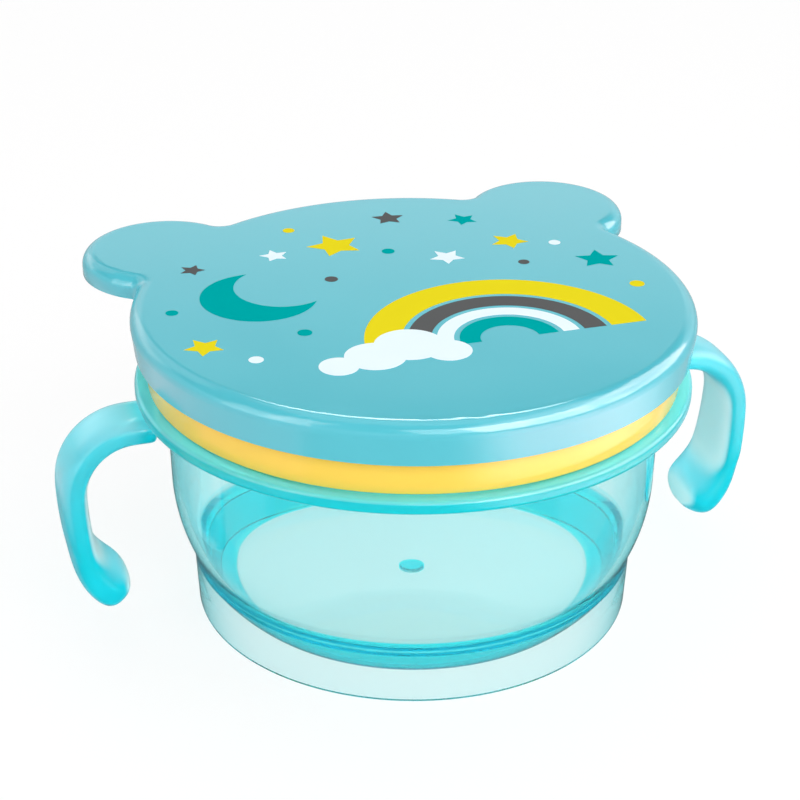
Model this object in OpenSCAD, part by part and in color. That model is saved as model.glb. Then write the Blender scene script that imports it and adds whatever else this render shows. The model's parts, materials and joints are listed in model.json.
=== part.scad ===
// Toddler snack container: a clear bowl with two open handles, a push-on ring
// with soft flaps that close by themselves, and a push-on lid with two round lobes.
// Millimetres. +Z is up, the origin is on the bowl's axis at table level, the
// handles lie along X and the lid's lobes are on the +Y side.

/* [Bowl] */
// Outer radius of the bowl wall where it starts to curve in
bowl_r = 55.1; // [50:0.1:60]
// Height at which the wall starts to curve in
belly_z = 32.8; // [28:0.1:36]
// Radius of the wall's inward curve
belly_arc = 40.2; // [38:0.1:44]
// How far the straight wall leans out up to the flange
wall_lean = 0.4; // [0:0.1:1.2]
// Thickness of the bowl's wall and floor
bowl_wall = 1.7; // [1.2:0.1:2.2]
// Height of the floor's underside above the table
floor_z = 3.2; // [2:0.1:5]
// Radius of the inside corner between floor and wall
floor_corner = 2; // [0.6:0.2:4]
// Radius of the corner under the floor, inside the foot
under_corner = 0.5; // [0.3:0.1:2]
// Diameter of the gate mark under the floor
gate_d = 5.6; // [3:0.1:10]
// How far the domed gate mark stands out of the floor
gate_h = 1.1; // [0.5:0.1:1.5]

/* [Foot] */
// How far the foot is set in from the wall, at the table
foot_set = 5; // [4:0.1:8]
// Outward lean of the foot up to the bowl
foot_lean = 0.7; // [0:0.1:1]
// Thickness of the foot's skirt
foot_wall = 1.6; // [1.2:0.1:2.4]

/* [Flange and neck] */
// How far the flange stands out from the wall
flange_out = 6.8; // [5:0.1:9]
// Height of the flange's underside
flange_z = 53; // [48:0.5:60]
// Thickness of the flange
flange_t = 3; // [2:0.1:4]
// Radius of the flange's rounded edges
flange_edge = 1; // [0.4:0.1:1]
// How far the neck stands out from the wall below the flange
neck_step = 0.9; // [0:0.1:1.6]
// Thickness of the neck
neck_wall = 2.1; // [1.6:0.1:2.4]
// Height of the neck above the flange
neck_h = 13.4; // [10:0.1:16]
// How far the snap bead stands out of the neck
neck_bead = 0.4; // [0.2:0.1:0.6]

/* [Handles] */
// How far the handles reach out beyond the flange
handle_out = 19.1; // [18:0.1:26]
// How far the handle's middle line starts below the flange's underside
handle_below = 1.9; // [0.5:0.1:3]
// Radius of the handle's upper bend, at its middle line
handle_bend = 13.7; // [10:0.1:15]
// Radius of the long curve below the bend
handle_sweep = 90; // [80:1:200]
// Length of the long curve
handle_drop = 18; // [12:0.5:22]
// Thickness of the handle's strap
strap_t = 6.1; // [5:0.1:8]
// Width of the handle at the flange
strap_w = 15; // [10:0.5:18]
// Thickness of the rounded tip
tip_t = 10; // [8:0.5:13]
// Width of the rounded tip
tip_w = 19.5; // [14:0.5:22]
// Inward turn of the tip
tip_turn = 34; // [10:1:45]

/* [Insert ring] */
// How far the ring's snap bead stands in from its skirt
ring_bead = 0.55; // [0.3:0.05:0.8]
// Thickness of the ring's outer skirt
ring_wall = 1.8; // [1.4:0.1:2.2]
// Thickness of the ring's top
ring_top = 1.6; // [1.2:0.1:2]
// Thickness of the wall that hangs inside the neck
plug_wall = 1.8; // [1.2:0.1:2.4]
// Depth of that wall below the ring's top face
plug_depth = 8; // [6:0.5:10]
// Inner radius of the ledge that carries the flaps' collar
ledge_r = 42; // [38:0.5:46]

/* [Flaps] */
// Number of flaps
flap_count = 8; // [6:1:10]
// Thickness of the soft collar and of the flaps at their root
flap_t = 1.6; // [1.2:0.1:2]
// Thickness of the flaps at their tip
flap_tip_t = 0.9; // [0.6:0.1:1.2]
// Distance from the bowl's axis to the line that each flap bends on
flap_root = 29.5; // [26:0.5:32]
// Width of the slit between two flaps
slit = 0.5; // [0.3:0.1:1]
// Radius of the hole where the flaps' tips meet
tip_hole = 2; // [1:0.5:4]
// Radius of the round relief at each slit's outer end
relief_r = 1.3; // [0.8:0.1:2]

/* [Lid] */
// How far the ring's outer bead stands out under the lid
rim_bead = 0.3; // [0.2:0.05:0.5]
// How far the lid's snap bead stands in from its skirt
lid_bead = 0.15; // [0.1:0.05:0.4]
// Height of the lid's skirt below its top face
lid_h = 9.2; // [8:0.1:11]
// Inward lean of the skirt towards its lower edge
lid_lean = 0.7; // [0:0.1:0.8]
// Thickness of the lid
lid_wall = 1.7; // [1.4:0.1:2]
// Radius of the lid's rounded shoulder
shoulder = 3.2; // [2.4:0.1:3.4]
// Radius of each round lobe
lobe_r = 19.1; // [15:0.1:23]
// How far each lobe's middle lies outside the lid's edge
lobe_past = 1.7; // [-2:0.1:4]
// Angle of each lobe from the +Y side
lobe_angle = 47.5; // [38:0.5:52]
// Depth of the lobe's skirt
lobe_h = 5.2; // [5:0.1:6]
// Radius of the fillet between lobe and lid
lobe_fillet = 3; // [1.5:0.5:6]

/* [Fits] */
// Gap between pieces that come apart
gap = 0.25; // [0.2:0.05:0.4]
// Space between the lid's underside and the ring's top
lid_gap = 0.3; // [0.2:0.05:0.6]

/* [Hidden] */
$fn = 96;

wall_top_r = bowl_r + wall_lean;
foot_r = bowl_r - foot_set;
flange_r = wall_top_r + flange_out;
flange_top = flange_z + flange_t;
neck_r = wall_top_r + neck_step;
neck_top = flange_top + neck_h;
neck_in = neck_r - neck_wall;
belly_x = bowl_r - belly_arc;              // centre of the wall's inward curve
floor_top = floor_z + bowl_wall;
under_fillet = 1.5;                        // fillet under the flange
bead_drop = 3;                             // snap bead below the top that it clips
edge_soft = 0.3;                           // broken edge of the foot's rim
bead_rise = 2;                             // ring's snap bead above its lower edge

handle_z = flange_z - handle_below;
handle_reach = flange_r + handle_out;

ring_in = neck_r + neck_bead + gap + ring_bead;
ring_r = ring_in + ring_wall;
ring_bottom = flange_top + gap;
ring_deck = neck_top + gap + ring_top;     // top face of the ring
plug_r = neck_in - gap;
ledge_z = ring_deck - plug_depth;
collar_z = ledge_z + ring_top;             // underside of the soft collar
collar_r = plug_r - plug_wall;
hinge_z = collar_z + flap_t / 2;
flap_step = 360 / flap_count;

lid_snap_r = ring_r + rim_bead + gap;       // inside of the lid's snap bead
lid_r = lid_snap_r + lid_bead + lid_wall + lid_lean;
lobe_out = lid_r + lobe_past;
lid_under = ring_deck + lid_gap;
lid_top = lid_under + lid_wall;
lid_bottom = lid_top - lid_h;
fine = 0.01;                               // overlap that makes cuts run clear
run_out = 0.04;                            // lets a round corner cross what it blends into
lip = 1.2;                                 // small lips and ribs of the soft collar and lid
rib_h = 2;                                 // depth of the lid's sealing rib
clear_bowl = [0.55, 0.88, 0.9, 0.6];
yellow = [0.98, 0.84, 0.33];
soft_turquoise = [0.7, 0.9, 0.92];
turquoise = [0.4, 0.79, 0.83];

// ---------- profiles shared by the revolved pieces ----------

// Upright rectangle from [x0, z0] to [x1, z1] whose two outer corners are rounded
module edge_rounded(x0, x1, z0, z1, r) {
    translate([x0, z0 + r]) square([x1 - x0, z1 - z0 - 2 * r]);
    translate([x0, z0]) square([x1 - x0 - r, z1 - z0]);
    for (z = [z0 + r, z1 - r]) translate([x1 - r, z]) circle(r);
}

// Region inside the bowl's wall surface, drawn in by inset, above height base.
// Its lower corner is rounded by a circle that crosses the curved wall and the floor.
module bowl_region(inset, base, corner, top) {
    arc = belly_arc - inset;
    turn = [belly_x + sqrt(pow(arc - corner, 2) - pow(belly_z - base - corner, 2)), base + corner];
    meet = [belly_x, belly_z] + (turn - [belly_x, belly_z]) * arc / (arc - corner);
    difference() {
        intersection() {
            translate([belly_x, belly_z]) circle(arc, $fn = 240);
            translate([belly_x, base]) square([arc + 1, belly_z - base]);
        }
        difference() {
            polygon([turn, [turn[0], base - 1], [meet[0] + corner, base - 1],
                [meet[0] + corner, 2 * meet[1] - turn[1]], meet]);
            translate(turn) circle(corner + run_out);
        }
    }
    translate([0, base]) square([belly_x, belly_z - base]);
    polygon([[0, belly_z], [bowl_r - inset, belly_z],
        [wall_top_r - inset, flange_z], [wall_top_r - inset, top], [0, top]]);
}

module flange_section() {
    edge_rounded(bowl_r - bowl_wall / 2, flange_r, flange_z, flange_top, flange_edge);
}

// Shallow dome under the middle of the floor, where the bowl was filled
module gate_section() {
    dome_r = (pow(gate_d / 2, 2) + pow(gate_h, 2)) / (2 * gate_h);
    intersection() {
        translate([0, floor_z - gate_h + dome_r]) circle(dome_r);
        translate([0, floor_z - gate_h]) square([gate_d / 2, gate_h + bowl_wall / 2]);
    }
}

module foot_section() {
    foot_top = belly_z - sqrt(pow(belly_arc, 2) - pow(foot_r + foot_lean - belly_x, 2)) + bowl_wall / 2;
    polygon([[foot_r - foot_wall + edge_soft, 0], [foot_r - edge_soft, 0], [foot_r, edge_soft],
        [foot_r + foot_lean, foot_top], [foot_r + foot_lean - foot_wall, foot_top],
        [foot_r - foot_wall, edge_soft]]);
}

module neck_section() {
    translate([neck_in, flange_z]) square([neck_wall, neck_top - flange_z - neck_wall / 2]);
    translate([neck_r - neck_wall / 2, neck_top - neck_wall / 2]) circle(neck_wall / 2);
    translate([neck_r, neck_top - bead_drop]) circle(neck_bead);
}

// ---------- bowl ----------

module bowl() color(clear_bowl) {
    rotate_extrude($fn = 180) {
        difference() {
            union() {
                bowl_region(0, floor_z, under_corner, flange_top);
                gate_section();
                flange_section();
                foot_section();
                neck_section();
                translate([wall_top_r, flange_z - under_fillet])
                    difference() {
                        square(under_fillet);
                        translate([under_fillet, 0]) circle(under_fillet);
                    }
            }
            bowl_region(bowl_wall, floor_top, floor_corner, flange_z);
            translate([0, flange_z]) square([neck_in, neck_h + flange_t + 1]);
        }
    }
}

// ---------- handles ----------
// The middle line runs out from the flange, turns down through the upper bend,
// follows the long curve and turns in at the tip. All arcs meet tangentially.

root_sunk = 3;                             // length of the root that the flange cuts off
handle_start = flange_r - root_sunk;
bend_x = handle_reach - strap_t / 2 - handle_bend;
root_len = bend_x - handle_start;
bend_len = handle_bend * PI / 2;
tip_arc = 14;                              // radius of the tip's inward curve
tip_len = tip_arc * tip_turn * PI / 180;
drop_turn = handle_drop / handle_sweep * 180 / PI;
bend_end = [bend_x + handle_bend, handle_z - handle_bend];
drop_end = [bend_end[0] - handle_sweep * (1 - cos(drop_turn)),
    bend_end[1] - handle_sweep * sin(drop_turn)];
line_len = root_len + bend_len + handle_drop + tip_len;

// Direction of the middle line at length s, as an angle below straight out
function line_turn(s) =
    s < root_len ? 0 :
    s < root_len + bend_len ? (s - root_len) / handle_bend * 180 / PI :
    s < line_len - tip_len ? 90 + (s - root_len - bend_len) / handle_sweep * 180 / PI :
    90 + drop_turn + (s - line_len + tip_len) / tip_arc * 180 / PI;

// Point of the middle line at length s, as [x, z]
function line_at(s) = let (a = line_turn(s))
    s < root_len ? [handle_start + s, handle_z] :
    s < root_len + bend_len ?
        [bend_x + handle_bend * sin(a), handle_z - handle_bend * (1 - cos(a))] :
    s < line_len - tip_len ?
        [bend_end[0] - handle_sweep * (1 - sin(a)), bend_end[1] + handle_sweep * cos(a)] :
        [drop_end[0] - tip_arc * (sin(90 + drop_turn) - sin(a)),
            drop_end[1] - tip_arc * (cos(90 + drop_turn) - cos(a))];

function ease(u) = let (c = min(1, max(0, u))) c * c * (3 - 2 * c);
function bump(c, power) = sign(c) * pow(abs(c), power);

tip_cap = tip_t / 2;                       // length of the rounded end
swell_lead = 5;                             // the strap thickens this far before the tip's curve
swell_start = line_len - tip_len - swell_lead;
swell_end = line_len - 2;                  // and is full size just before the rounded end
squareness = 2.5;                          // 2 is an ellipse, more is squarer
section_points = 28;
line_steps = 26;
cap_steps = 6;

// Strap thickness and width at length s
function strap_at(s) = let (u = ease((s - swell_start) / (swell_end - swell_start)),
    v = ease((s - root_len) / (swell_end - root_len)))
    [strap_t + (tip_t - strap_t) * u, strap_w + (tip_w - strap_w) * v];

// One ring of points round the middle line, shrunk by k
function section_at(s, out, k) = let (a = line_turn(s), c = line_at(s), d = strap_at(s),
    shift = (d[0] - strap_t) / 3)
    [for (i = [0:section_points - 1]) let (t = 360 * i / section_points,
        across = (bump(cos(t), 2 / squareness) * d[0] / 2) * k - shift,
        side = bump(sin(t), 2 / squareness) * d[1] / 2 * k)
        [c[0] + across * sin(a) + out * cos(a), side, c[1] + across * cos(a) - out * sin(a)]];

handle_rings = concat(
    [for (i = [0:line_steps]) section_at(line_len * i / line_steps, 0, 1)],
    [for (i = [1:cap_steps]) let (t = 90 * i / (cap_steps + 0.4))
        section_at(line_len, tip_cap * sin(t), cos(t))]);

module handle() {
    n = section_points;
    last = len(handle_rings) - 1;
    points = [for (ring = handle_rings) each ring];
    sides = [for (j = [0:last - 1], i = [0:n - 1]) let (k = (i + 1) % n)
        [j * n + i, j * n + k, (j + 1) * n + k, (j + 1) * n + i]];
    ends = [[for (i = [n - 1:-1:0]) i], [for (i = [0:n - 1]) last * n + i]];
    difference() {
        polyhedron(points, concat(sides, ends), convexity = 4);
        rotate_extrude($fn = 180) flange_section();
    }
}

module handle_right() color(clear_bowl) handle();
module handle_left() color(clear_bowl) mirror([1, 0, 0]) handle();

// ---------- insert ring ----------

module insert_ring() color(yellow) rotate_extrude($fn = 180) {
    edge = ring_top / 2;
    // outer skirt and top
    difference() {
        edge_rounded(collar_r, ring_r, ring_bottom, ring_deck, edge);
        translate([0, ring_bottom - 1]) square([ring_in, ring_deck - ring_top - ring_bottom + 1]);
    }
    // snap bead that passes just outside the neck's bead
    translate([ring_in - ring_bead, ring_bottom + bead_rise]) square([ring_bead + fine, ring_top]);
    // bead under the lid's skirt
    translate([ring_r, ring_deck - bead_drop]) circle(rim_bead);
    // wall inside the neck, with the ledge for the soft collar at its foot
    translate([collar_r, ledge_z]) square([plug_wall, plug_depth - ring_top / 2]);
    translate([ledge_r, ledge_z]) square([collar_r - ledge_r + fine, ring_top]);
}

// ---------- soft collar and flaps ----------

module flap_collar() color(soft_turquoise) difference() {
    hole_r = (flap_root + flap_t / 2 + gap) / cos(flap_step / 2);
    translate([0, 0, collar_z]) union() {
        cylinder(r = collar_r, h = flap_t, $fn = 180);
        // raised lip that seals against the wall inside the neck
        difference() {
            cylinder(r = collar_r, h = flap_t + lip, $fn = 180);
            translate([0, 0, flap_t]) cylinder(r = collar_r - lip, h = lip + 1, $fn = 180);
        }
    }
    translate([0, 0, collar_z - 1]) {
        linear_extrude(flap_t + 2) polygon([for (i = [0:flap_count - 1])
            hole_r * [cos(i * flap_step), sin(i * flap_step)]]);
        for (i = [0:flap_count - 1]) rotate(i * flap_step)
            translate([hole_r, 0]) cylinder(r = relief_r, h = flap_t + 2, $fn = 24);
    }
}

// One flap, pointing along +X from its tip at the axis to its root
module flap(i) color(soft_turquoise) rotate((i - 0.5) * flap_step) {
    half = flap_step / 2;
    root = flap_root + flap_t / 2;
    side_y = root * tan(half) - slit / 2 / cos(half);
    point_x = slit / 2 / sin(half);
    difference() {
        intersection() {
            translate([0, 0, collar_z]) linear_extrude(flap_t)
                polygon([[point_x, 0], [root, -side_y], [root, side_y]]);
            rotate([90, 0, 0]) translate([0, 0, -root]) linear_extrude(2 * root) {
                translate([flap_root, hinge_z]) circle(flap_t / 2, $fn = 32);
                polygon([[0, hinge_z - flap_tip_t / 2], [flap_root, collar_z],
                    [flap_root, collar_z + flap_t], [0, hinge_z + flap_tip_t / 2]]);
            }
        }
        translate([0, 0, collar_z - 1]) {
            cylinder(r = tip_hole, h = flap_t + 2, $fn = 32);
            for (turn = [-half, half]) rotate(turn)
                translate([root / cos(half), 0]) cylinder(r = relief_r, h = flap_t + 2, $fn = 24);
        }
    }
}

// ---------- lid ----------

// Side view of a round lid part of radius r, drawn in by inset
module lid_region(r, lean, z0, inset) {
    soft = shoulder - inset;
    translate([0, z0]) square([r - shoulder, lid_top - inset - z0]);
    translate([r - shoulder, lid_top - shoulder]) circle(soft);
    polygon([[0, z0], [r - lean - inset, z0], [r - inset, lid_top - shoulder],
        [0, lid_top - shoulder]]);
}

lobe_z = lid_top - lobe_h;
lobe_mid = lobe_out * [sin(lobe_angle), cos(lobe_angle)];

module at_lobes() for (side = [-1, 1]) translate([side * lobe_mid[0], lobe_mid[1], 0]) children();

// Round inside corner between the lid and a lobe. It turns about the point that
// lies lobe_fillet outside both circles, and runs out just under their surfaces.
module lobe_corner(side) {
    hollow = lobe_fillet + run_out;
    a = lid_r + lobe_fillet;
    b = lobe_r + lobe_fillet;
    c = lobe_out;
    at_lid = acos((a * a + c * c - b * b) / (2 * a * c));
    at_lobe = acos((b * b + c * c - a * a) / (2 * b * c));
    span = 180 - at_lid - at_lobe;
    rotate(90 - lobe_angle) mirror([0, side, 0])
        translate([a * cos(at_lid), a * sin(at_lid), 0]) rotate(180 + at_lid)
            rotate_extrude(angle = span, $fn = 96) {
                translate([hollow, lobe_z]) square([2 * shoulder, lobe_h - shoulder]);
                translate([hollow + shoulder, lobe_z]) square([shoulder, lobe_h]);
                intersection() {
                    translate([hollow + shoulder, lid_top - shoulder]) circle(shoulder);
                    translate([hollow, lid_top - shoulder]) square(shoulder);
                }
            }
}

module lid() color(turquoise) difference() {
    union() {
        rotate_extrude($fn = 180) lid_region(lid_r, lid_lean, lid_bottom, 0);
        at_lobes() rotate_extrude($fn = 96) lid_region(lobe_r, 0, lobe_z, 0);
        for (flip = [0, 1], side = [0, 1]) mirror([flip, 0, 0]) lobe_corner(side);
    }
    rotate_extrude($fn = 180) difference() {
        lid_region(lid_r, lid_lean, lid_bottom - fine, lid_wall);
        // snap bead just inside the skirt's lower edge
        translate([lid_snap_r, lid_bottom + lip / 2]) square([lid_wall, lip]);
        // sealing rib that drops inside the ring's inner wall
        translate([collar_r - gap - lip, lid_under - rib_h]) square([lip, rib_h + lid_wall / 2]);
    }
    difference() {
        at_lobes() rotate_extrude($fn = 96) lid_region(lobe_r, 0, lobe_z - fine, lid_wall);
        rotate_extrude($fn = 180) lid_region(lid_r, lid_lean, lid_bottom, 0);
    }
}

bowl();
handle_left();
handle_right();
insert_ring();
flap_collar();
for (i = [1:flap_count])
    flap(i);
lid();
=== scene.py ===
import json
from math import acos, asin, cos, degrees, pi, radians, sin, tan

import bmesh
import bpy
from mathutils import Matrix, Vector

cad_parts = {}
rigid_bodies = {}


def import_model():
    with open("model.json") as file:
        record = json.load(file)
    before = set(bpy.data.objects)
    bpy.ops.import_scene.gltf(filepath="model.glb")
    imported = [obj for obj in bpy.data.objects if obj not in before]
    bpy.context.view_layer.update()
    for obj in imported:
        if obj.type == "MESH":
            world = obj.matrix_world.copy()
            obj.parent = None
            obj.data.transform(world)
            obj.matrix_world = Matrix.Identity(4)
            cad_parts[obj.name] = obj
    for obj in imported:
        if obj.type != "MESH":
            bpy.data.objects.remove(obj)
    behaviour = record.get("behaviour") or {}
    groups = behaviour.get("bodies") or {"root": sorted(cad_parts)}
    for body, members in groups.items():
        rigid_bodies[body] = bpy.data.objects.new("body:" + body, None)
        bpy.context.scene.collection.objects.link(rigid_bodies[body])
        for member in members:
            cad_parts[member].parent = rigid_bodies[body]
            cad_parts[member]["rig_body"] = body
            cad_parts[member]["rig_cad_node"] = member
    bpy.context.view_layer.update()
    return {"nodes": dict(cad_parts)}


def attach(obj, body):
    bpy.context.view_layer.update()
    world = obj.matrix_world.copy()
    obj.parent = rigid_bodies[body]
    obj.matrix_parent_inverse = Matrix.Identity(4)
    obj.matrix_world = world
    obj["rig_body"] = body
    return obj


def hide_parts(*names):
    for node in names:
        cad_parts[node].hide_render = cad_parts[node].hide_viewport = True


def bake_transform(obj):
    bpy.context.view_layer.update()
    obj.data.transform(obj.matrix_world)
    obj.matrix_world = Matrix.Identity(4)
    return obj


# Toddler snack container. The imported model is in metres. The dictionaries of its pieces are in
# millimetres, the camera and the studio in metres.
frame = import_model()
mm = 0.001
print("frame loaded:", len(frame["nodes"]), "nodes")


def pick(*objects):
    if bpy.context.object and bpy.context.object.mode != "OBJECT":
        bpy.ops.object.mode_set(mode="OBJECT")
    bpy.ops.object.select_all(action="DESELECT")
    for obj in objects:
        obj.select_set(True)
    bpy.context.view_layer.objects.active = objects[0]


def applyModifier(obj, kind, **settings):
    modifier = obj.modifiers.new(kind.lower(), kind)
    for setting, value in settings.items():
        setattr(modifier, setting, value)
    pick(obj)
    bpy.ops.object.modifier_apply(modifier=modifier.name)


def selectWhere(obj, test, kind="VERT"):  # selects parts of the mesh being edited by their place
    mesh = bmesh.from_edit_mesh(obj.data)
    bpy.ops.mesh.select_mode(type=kind)
    bpy.ops.mesh.select_all(action="DESELECT")
    parts = {"VERT": mesh.verts, "EDGE": mesh.edges, "FACE": mesh.faces}[kind]
    for part in parts:
        part.select = test(part)
    mesh.select_flush_mode()
    bmesh.update_edit_mesh(obj.data)


def arc(centre, radius, start, end, steps):  # points of a round stretch, angles in degrees
    turns = [radians(start + (end - start) * i / steps) for i in range(steps + 1)]
    return [(centre[0] + radius * cos(t), centre[1] + radius * sin(t)) for t in turns]


def spinProfile(name, points, steps=144):  # points are (radius, height) in millimetres
    bpy.ops.object.select_all(action="DESELECT")
    bpy.ops.mesh.primitive_plane_add(size=mm, location=(0, 0, 0))
    obj = bpy.context.object
    obj.name = name
    bpy.ops.object.mode_set(mode="EDIT")
    bpy.ops.mesh.select_all(action="SELECT")
    bpy.ops.mesh.merge(type="CENTER")  # one point of the plane is left, and draws the profile
    bpy.ops.transform.translate(value=(points[0][0] * mm, 0, points[0][1] * mm))
    for (x0, z0), (x1, z1) in zip(points, points[1:]):
        step = ((x1 - x0) * mm, 0, (z1 - z0) * mm)
        bpy.ops.mesh.extrude_region_move(TRANSFORM_OT_translate={"value": step})
    bpy.ops.mesh.select_all(action="SELECT")
    bpy.ops.mesh.spin(steps=steps, angle=2 * pi, center=(0, 0, 0), axis=(0, 0, 1))
    bpy.ops.mesh.select_all(action="SELECT")
    bpy.ops.mesh.remove_doubles(threshold=0.002 * mm)
    bpy.ops.mesh.normals_make_consistent(inside=False)
    bpy.ops.object.mode_set(mode="OBJECT")
    return obj


def addPost(radius, place, low, high, vertices=48, turn=0.0):  # upright post that cuts a hole
    bpy.ops.mesh.primitive_cylinder_add(radius=radius * mm, depth=(high - low) * mm, vertices=vertices,
                                        location=(place[0] * mm, place[1] * mm, (low + high) / 2 * mm),
                                        rotation=(0, 0, turn))
    return bpy.context.object


def cutPosts(obj, posts):
    for post in posts:
        applyModifier(obj, "BOOLEAN", operation="DIFFERENCE", solver="EXACT", object=post)
    pick(*posts)
    bpy.ops.object.delete()


def shadeSmooth(obj, angle=35):
    pick(obj)
    bpy.ops.object.shade_smooth_by_angle(angle=radians(angle))


def finishPiece(obj, material, body):
    obj.data.materials.clear()
    obj.data.materials.append(material)
    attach(obj, body)


camera = {
    "place": (-0.12312, -0.38579, 0.25177),
    "aim": (-0.00374, -0.00221, 0.04901),
    "lens": 90, "sensor": 36,
    "roll": 0.2573,  # degrees, the picture is turned slightly
}


def addCamera():
    bpy.ops.object.camera_add(location=camera["place"])
    cam = bpy.context.object
    cam.name = "productCamera"
    cam.data.lens = camera["lens"]
    cam.data.sensor_width = camera["sensor"]
    view = (Vector(camera["aim"]) - Vector(camera["place"])).to_track_quat("-Z", "Y")
    cam.matrix_world = (Matrix.Translation(camera["place"]) @ view.to_matrix().to_4x4()
                        @ Matrix.Rotation(radians(camera["roll"]), 4, "Z"))
    bpy.context.scene.camera = cam


addCamera()
print("camera set")


def newMaterial(name):
    material = bpy.data.materials.new(name)
    material.use_nodes = True
    nodes = material.node_tree.nodes
    return material, nodes, material.node_tree.links, nodes["Principled BSDF"]


def addRamp(nodes, links, value, start, end, low=0.0, high=1.0):
    ramp = nodes.new("ShaderNodeMapRange")
    ramp.interpolation_type = "SMOOTHSTEP"
    links.new(value, ramp.inputs["Value"])
    for label, number in (("From Min", start), ("From Max", end), ("To Min", low), ("To Max", high)):
        ramp.inputs[label].default_value = number
    return ramp.outputs["Result"]


def combine(nodes, links, kind, first, second):
    step = nodes.new("ShaderNodeMath")
    step.operation = kind
    links.new(first, step.inputs[0])
    links.new(second, step.inputs[1])
    return step.outputs[0]


def unsigned(nodes, links, value):
    step = nodes.new("ShaderNodeMath")
    step.operation = "ABSOLUTE"
    links.new(value, step.inputs[0])
    return step.outputs[0]


def mixTint(nodes, links, factor, first, second):  # first and second are colours or sockets
    mix = nodes.new("ShaderNodeMix")
    mix.data_type = "RGBA"
    links.new(factor, mix.inputs["Factor"])
    for label, colour in (("A", first), ("B", second)):
        if isinstance(colour, tuple):
            mix.inputs[label].default_value = (*colour, 1)
        else:
            links.new(colour, mix.inputs[label])
    return mix.outputs["Result"]


def buildMouldedSkin():  # faint grain, slow waviness and uneven gloss of an injection moulding
    group = bpy.data.node_groups.new("mouldedSkin", "ShaderNodeTree")
    face = group.interface
    for label, value in (("Grain Size", 900.0), ("Grain Depth", 0.15), ("Wave Size", 30.0),
                         ("Wave Depth", 0.5), ("Gloss Low", 0.2), ("Gloss High", 0.3)):
        socket = face.new_socket(name=label, in_out="INPUT", socket_type="NodeSocketFloat")
        socket.default_value = value
    for label in ("Height", "Roughness", "Cloud"):
        face.new_socket(name=label, in_out="OUTPUT", socket_type="NodeSocketFloat")
    nodes, links = group.nodes, group.links
    given = nodes.new("NodeGroupInput")
    result = nodes.new("NodeGroupOutput")
    place = nodes.new("ShaderNodeTexCoord")
    grain = nodes.new("ShaderNodeTexNoise")
    wave = nodes.new("ShaderNodeTexNoise")
    links.new(place.outputs["Object"], grain.inputs["Vector"])
    links.new(place.outputs["Object"], wave.inputs["Vector"])
    links.new(given.outputs["Grain Size"], grain.inputs["Scale"])
    links.new(given.outputs["Wave Size"], wave.inputs["Scale"])
    grain.inputs["Detail"].default_value = 3
    wave.inputs["Detail"].default_value = 2
    height = combine(nodes, links, "ADD",
                     combine(nodes, links, "MULTIPLY", wave.outputs["Fac"], given.outputs["Wave Depth"]),
                     combine(nodes, links, "MULTIPLY", grain.outputs["Fac"], given.outputs["Grain Depth"]))
    gloss = nodes.new("ShaderNodeMapRange")
    gloss.interpolation_type = "SMOOTHERSTEP"
    gloss.inputs["From Min"].default_value = 0.2
    gloss.inputs["From Max"].default_value = 0.8
    links.new(wave.outputs["Fac"], gloss.inputs["Value"])
    links.new(given.outputs["Gloss Low"], gloss.inputs["To Min"])
    links.new(given.outputs["Gloss High"], gloss.inputs["To Max"])
    links.new(height, result.inputs["Height"])
    links.new(gloss.outputs["Result"], result.inputs["Roughness"])
    links.new(wave.outputs["Fac"], result.inputs["Cloud"])
    return group


mouldedSkin = buildMouldedSkin()


def addSkin(nodes, links, shader, finish):
    skin = nodes.new("ShaderNodeGroup")
    skin.node_tree = mouldedSkin
    for label, value in finish["skin"].items():
        skin.inputs[label].default_value = value
    relief = nodes.new("ShaderNodeBump")
    relief.inputs["Distance"].default_value = finish["relief"]
    links.new(skin.outputs["Height"], relief.inputs["Height"])
    links.new(relief.outputs["Normal"], shader.inputs["Normal"])
    links.new(skin.outputs["Roughness"], shader.inputs["Roughness"])
    return skin


def makeFinish(name, finish):  # an opaque moulding or ink, whose colour drifts a little from place to place
    material, nodes, links, shader = newMaterial(name)
    skin = addSkin(nodes, links, shader, finish)
    links.new(mixTint(nodes, links, skin.outputs["Cloud"], finish["deep"], finish["pale"]),
              shader.inputs["Base Color"])
    for label, value in finish["shader"].items():
        shader.inputs[label].default_value = value
    return material


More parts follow.
